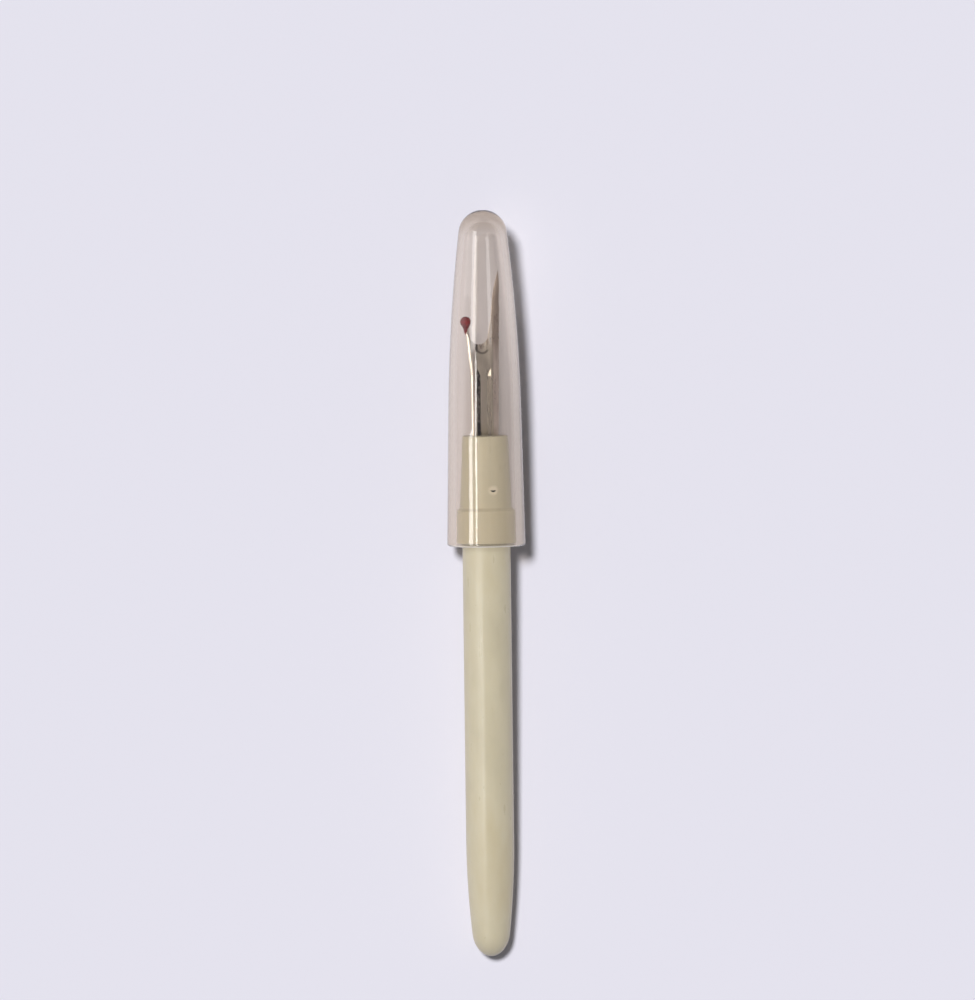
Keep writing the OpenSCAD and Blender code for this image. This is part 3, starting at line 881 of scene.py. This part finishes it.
warm = add(tree, "ShaderNodeVolumeAbsorption", Color=(0.6, 0.4, 0.1, 1.0), Density=140.0)
tree.links.new(warm.outputs["Volume"], tree.nodes["Material Output"].inputs["Volume"])
cap.data.materials.append(mat)
print("shadow line of the cap:", [round(colour[0] * RAMP_UNIT, 2) for _, colour in stops], "mm")

# %% [markdown]
# ## The table, the light and the camera
#
# The tool lies on a plain pale sheet. Rays that were bent by the cap also see the sheet glow a
# little in its own colour, a painted light, because the lamps alone would leave it too dark
# there. The glow is dimmer under the tool, a painted shade, and dimmer again beside the
# blade, a painted shadow of the blade.

# %% Floor
PALE = srgb(231, 229, 240)
bpy.ops.object.select_all(action="DESELECT")
bpy.ops.mesh.primitive_plane_add(size=3.0, location=(0, 0, 0))
floor = bpy.context.object
floor.name = floor.data.name = "floor"
mat, tree, bsdf = new_material("pale_sheet")
bsdf.inputs["Base Color"].default_value = PALE
bsdf.inputs["Roughness"].default_value = 0.9
bsdf.inputs["Specular IOR Level"].default_value = 0.0
spot = tree.nodes.new("ShaderNodeSeparateXYZ")
tree.links.new(tree.nodes.new("ShaderNodeTexCoord").outputs["Object"], spot.inputs["Vector"])
GLOW_HALF = 6.5 * MM
# painted shade: the glow is dimmer under the tool, more so right of the blade
GLOW = [(0.0, 0.85), (0.1, 0.74), (0.16, 0.72), (0.3, 0.8)]
GLOW += [(0.36, 0.66), (0.6, 0.66), (0.78, 0.6), (1.0, 0.76)]
across_x = levels(tree, spot.outputs["X"], -GLOW_HALF, GLOW_HALF, 0.0, 1.0)
beside = ramp(tree, across_x, [(x, (v, v, v)) for x, v in GLOW])
# painted shadow of the blade: the glow is dimmer to the right of the blade
below_point = levels(tree, spot.outputs["Y"], 30 * MM, 50 * MM, 0.25, 0.0)
right_half = levels(tree, spot.outputs["X"], 0.5 * MM, 2 * MM, 0.0, 1.0)
painted_blade_shadow = math_node(tree, "MULTIPLY", below_point, right_half)
beside = blend(tree, painted_blade_shadow, beside, (0.0, 0.0, 0.0, 1.0))
# painted light: the sheet glows for rays bent by the cap
painted_glow = add(tree, "ShaderNodeEmission", Strength=1.25)
tree.links.new(blend(tree, 1.0, PALE, beside, "MULTIPLY"), painted_glow.inputs["Color"])
ray = tree.nodes.new("ShaderNodeLightPath")
mix = tree.nodes.new("ShaderNodeMixShader")
bent = math_node(tree, "MULTIPLY", ray.outputs["Is Transmission Ray"], 0.7)
tree.links.new(bent, mix.inputs["Fac"])
tree.links.new(bsdf.outputs["BSDF"], mix.inputs[1])
tree.links.new(painted_glow.outputs["Emission"], mix.inputs[2])
tree.links.new(mix.outputs["Shader"], tree.nodes["Material Output"].inputs["Surface"])
floor.data.materials.append(mat)
print("floor glows from %.2f to %.2f" % (min(v for x, v in GLOW), max(v for x, v in GLOW)))

# %% [markdown]
# The room is pale near the floor and darker overhead, which gives the steel something to
# mirror, and it adds little light of its own.

# %% Room
ROOM = 0.15
OVERHEAD = 0.46
world = bpy.data.worlds.new("room")
bpy.context.scene.world = world
world.use_nodes = True
tree = world.node_tree
back = tree.nodes["Background"]
back.inputs["Color"].default_value = (0.97, 0.985, 1.0, 1.0)
back.inputs["Strength"].default_value = ROOM
pale = add(tree, "ShaderNodeBackground", Color=PALE)
aim = tree.nodes.new("ShaderNodeSeparateXYZ")
tree.links.new(tree.nodes.new("ShaderNodeTexCoord").outputs["Generated"], aim.inputs["Vector"])
tree.links.new(levels(tree, aim.outputs["Z"], 0.2, 0.45, 1.0, OVERHEAD), pale.inputs["Strength"])
ray = tree.nodes.new("ShaderNodeLightPath")
mix = tree.nodes.new("ShaderNodeMixShader")
seen = math_node(tree, "MAXIMUM", ray.outputs["Is Camera Ray"], ray.outputs["Is Glossy Ray"])
seen = math_node(tree, "MAXIMUM", seen, ray.outputs["Is Transmission Ray"])
direct = math_node(tree, "LESS_THAN", ray.outputs["Diffuse Depth"], 0.5)
tree.links.new(math_node(tree, "MULTIPLY", seen, direct), mix.inputs["Fac"])
tree.links.new(back.outputs["Background"], mix.inputs[1])
tree.links.new(pale.outputs["Background"], mix.inputs[2])
tree.links.new(mix.outputs["Shader"], tree.nodes["World Output"].inputs["Surface"])
print("room gives %.2f of light and mirrors %.2f overhead" % (ROOM, OVERHEAD))

# %% [markdown]
# One lamp like a hazy sun, almost overhead, throws the soft shadow to the right. Wide lamps on
# both sides and in front lift the shaded sides of the tool and leave no second shadow. The
# narrow strips are there for their mirror images alone, the long bright lines on the handle,
# the cap and the ground edge of the blade. They give no other light, so a colour renders
# about as it is written.


# %% Lamps
def strip(name, lean, distance, width, y_low, y_high, radiance):
    """A long soft lamp beside the tool, leaning left of overhead by an angle."""
    a = math.radians(lean)
    length = y_high - y_low
    place = (-distance * math.sin(a), (y_low + y_high) / 2, distance * math.cos(a))
    bpy.ops.object.light_add(type="AREA", location=place, rotation=(0, -a, 0))
    lamp = bpy.context.object
    lamp.name = lamp.data.name = name
    lamp.data.shape = "RECTANGLE"
    lamp.data.size, lamp.data.size_y = width, length
    lamp.data.energy = radiance * math.pi * width * length
    share = radiance * width * length * math.cos(a) / distance**2 / math.pi
    print(name, "gives the floor about %.2f of a full light" % share)
    return lamp


def light_only(name, pieces, lamps):
    """Let some lamps light these pieces and nothing else."""
    group = bpy.data.collections.new(name)
    for piece in pieces:
        group.objects.link(piece)
    for lamp in lamps:
        lamp.light_linking.receiver_collection = group


KEY_FROM = Vector((-math.tan(math.radians(12)), math.tan(math.radians(15)), 1.0))
KEY_SHARE = 0.83
FRONT_SIZE = 0.3
key_turn = KEY_FROM.to_track_quat("Z", "Y").to_euler()
bpy.ops.object.light_add(type="SUN", location=KEY_FROM, rotation=key_turn)
key = bpy.context.object
key.name = key.data.name = "lamp_key"
key.data.angle = math.radians(11)
key.data.energy = KEY_SHARE * math.pi * KEY_FROM.length
fill = strip("lamp_fill", -48, 0.5, 0.3, -0.1, 0.15, 3.7)
side = strip("lamp_side", 62, 0.5, 0.3, -0.15, 0.25, 3.4)
steep = strip("lamp_steep", 27.5, 0.4, 0.03, -0.2, 0.05, 12.0)
high = strip("lamp_high", 37.2, 0.4, 0.12, 0.053, 0.16, 4.8)
veil = strip("lamp_veil", 61, 0.4, 0.2, 0.088, 0.18, 0.9)
right = strip("lamp_right", -20.5, 0.4, 0.09, 0.055, 0.13, 3.0)
low = strip("lamp_low", 45, 0.4, 0.08, -0.06, 0.013, 9.0)
edge = strip("lamp_edge", 46, 0.4, 0.06, -0.06, 0.12, 34.0)
front_turn = (math.radians(60), 0, 0)
bpy.ops.object.light_add(type="AREA", location=(0, -0.4, 0.25), rotation=front_turn)
front = bpy.context.object
front.name = front.data.name = "lamp_front"
front.data.size = FRONT_SIZE
front.data.energy = 0.8 * math.pi * FRONT_SIZE**2
for lamp in (key, fill, side, front):
    lamp.visible_glossy = False
for lamp in (fill, front):
    lamp.data.use_shadow = False
for lamp in (key, fill, side, steep, veil, low, right, edge, front):
    lamp.visible_transmission = False
for lamp in (steep, high, veil, low, right, edge):
    lamp.visible_diffuse = False
tool = (handle, blade, bead, cap)
light_only("lit_by_strips", tool, (fill, side, steep, high, low, right, front))
light_only("lit_by_edge", (blade,), (edge,))
light_only("lit_by_veil", (cap,), (veil,))

# %% [markdown]
# The camera looks straight down from far off with a long lens, so that the tool keeps its
# true outline. It is turned by well under a degree, as the tool leans in the picture.

# %% Camera
VIEW_HEIGHT = 176.8 * MM
VIEW_ROLL = math.radians(-0.707)
VIEW_MIDDLE = 80.9 * MM  # from the tail
VIEW_SHIFT = 0.28 * MM
DISTANCE = 1.6
SENSOR = 36
middle = LAY @ Vector((0, VIEW_MIDDLE, 0))
view_from = (middle.x + VIEW_SHIFT, middle.y, DISTANCE)
bpy.ops.object.camera_add(location=view_from, rotation=(0, 0, VIEW_ROLL))
camera = bpy.context.object
camera.data.sensor_fit = "VERTICAL"
camera.data.sensor_height = SENSOR
camera.data.lens = SENSOR * (DISTANCE - middle.z) / VIEW_HEIGHT
camera.data.clip_start = 0.05
camera.data.clip_end = 10
bpy.context.scene.camera = camera
bpy.context.scene.view_settings.view_transform = "Standard"
print("lens %.0f mm" % camera.data.lens)
